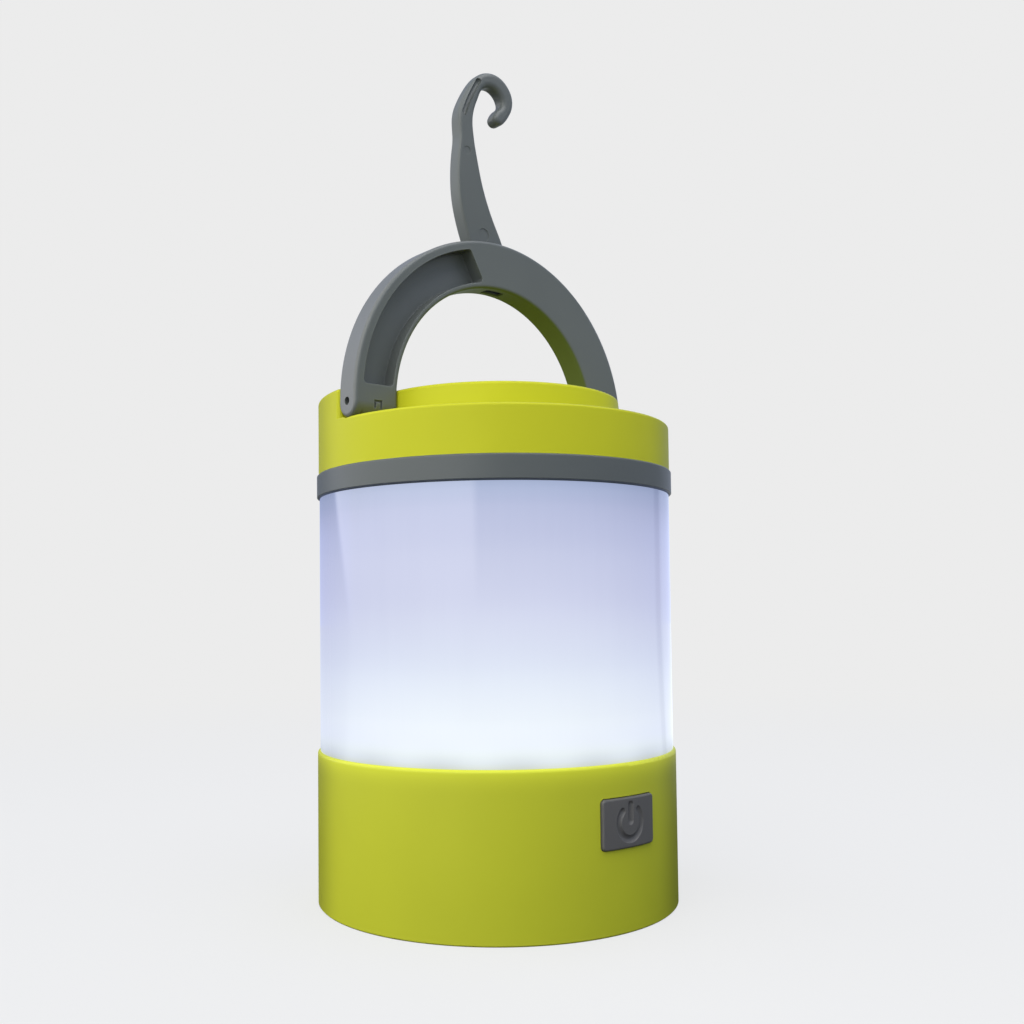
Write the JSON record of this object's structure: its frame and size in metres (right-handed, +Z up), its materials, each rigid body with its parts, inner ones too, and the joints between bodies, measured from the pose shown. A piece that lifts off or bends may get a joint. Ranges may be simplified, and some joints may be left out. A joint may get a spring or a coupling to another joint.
{
  "type": "camping lantern",
  "caption": "Round battery camping lantern with a lit frosted diffuser, folding half-ring handle, swing-out hanging hook and side power button.",
  "frame": {"origin": "centre of the base underside, on the lantern's vertical axis", "axes": "+Z up along the lantern's axis; +X along the handle's pivot axis; -Y is the front, with the power button, and the side the handle folds down to"},
  "size_m": [0.09, 0.0907, 0.2116],
  "materials": {
    "lime_shell": "satin moulded",
    "grey_plastic": "satin moulded, fine texture",
    "black_plastic": "matte",
    "white_plastic": "matte, reflective white",
    "frosted_diffuser": "frosted inside, glossy outside, lit",
    "seal_rubber": "matte",
    "screw_steel": "zinc plated",
    "pin_steel": "turned",
    "contact_nickel": "nickel plated",
    "cell": "plain wrapped can",
    "board_green": "solder mask",
    "board_white": "white solder mask",
    "led_lens": "clear dome over yellow phosphor",
    "wire_red": "insulation",
    "wire_black": "insulation"
  },
  "bodies": {
    "lantern_body": {"base_shell": "lime_shell", "top_cap": "lime_shell", "battery_tray": "black_plastic", "tray_screws": "screw_steel", "battery_1": "cell", "battery_2": "cell", "battery_3": "cell", "contact_springs": "contact_nickel", "contact_plates": "contact_nickel", "switch_board": "board_green", "switch_body": "black_plastic", "switch_board_screws": "screw_steel", "driver_chip": "black_plastic", "resistors": "black_plastic", "led_deck": "white_plastic", "led_board": "board_white", "leds": "led_lens", "led_board_screws": "screw_steel", "diffuser": "frosted_diffuser", "diffuser_gasket": "seal_rubber", "collar_ring": "grey_plastic", "ceiling_reflector": "white_plastic", "cap_screws": "screw_steel", "handle_pin_left": "pin_steel", "handle_pin_right": "pin_steel", "battery_lead_red": "wire_red", "battery_lead_black": "wire_black", "led_leads": "wire_red"},
    "handle": {"handle": "grey_plastic", "hook_pin": "pin_steel"},
    "hook": {"hook": "grey_plastic"},
    "power_button": {"power_button": "grey_plastic", "switch_plunger": "white_plastic"},
    "battery_cover": {"battery_cover": "lime_shell", "cover_seal": "seal_rubber"}
  },
  "joints": [
    {"name": "handle_fold", "type": "hinge", "parent": "lantern_body", "child": "handle", "pos_m": [0, 0, 0.12105], "axis": [1, 0, 0], "range_deg": [0, 90]},
    {"name": "hook_swing", "type": "hinge", "parent": "handle", "child": "hook", "pos_m": [0, 0, 0.16091], "axis": [0, 1, 0], "range_deg": [0, 123]},
    {"name": "button_press", "type": "slide", "parent": "lantern_body", "child": "power_button", "axis": [0, 1, 0], "range_m": [0, 0.0005], "stiffness_N_per_m": 3000},
    {"name": "cover_twist", "type": "hinge", "parent": "lantern_body", "child": "battery_cover", "pos_m": [0, 0, 0.002], "axis": [0, 0, -1], "range_deg": [0, 30]}
  ]
}
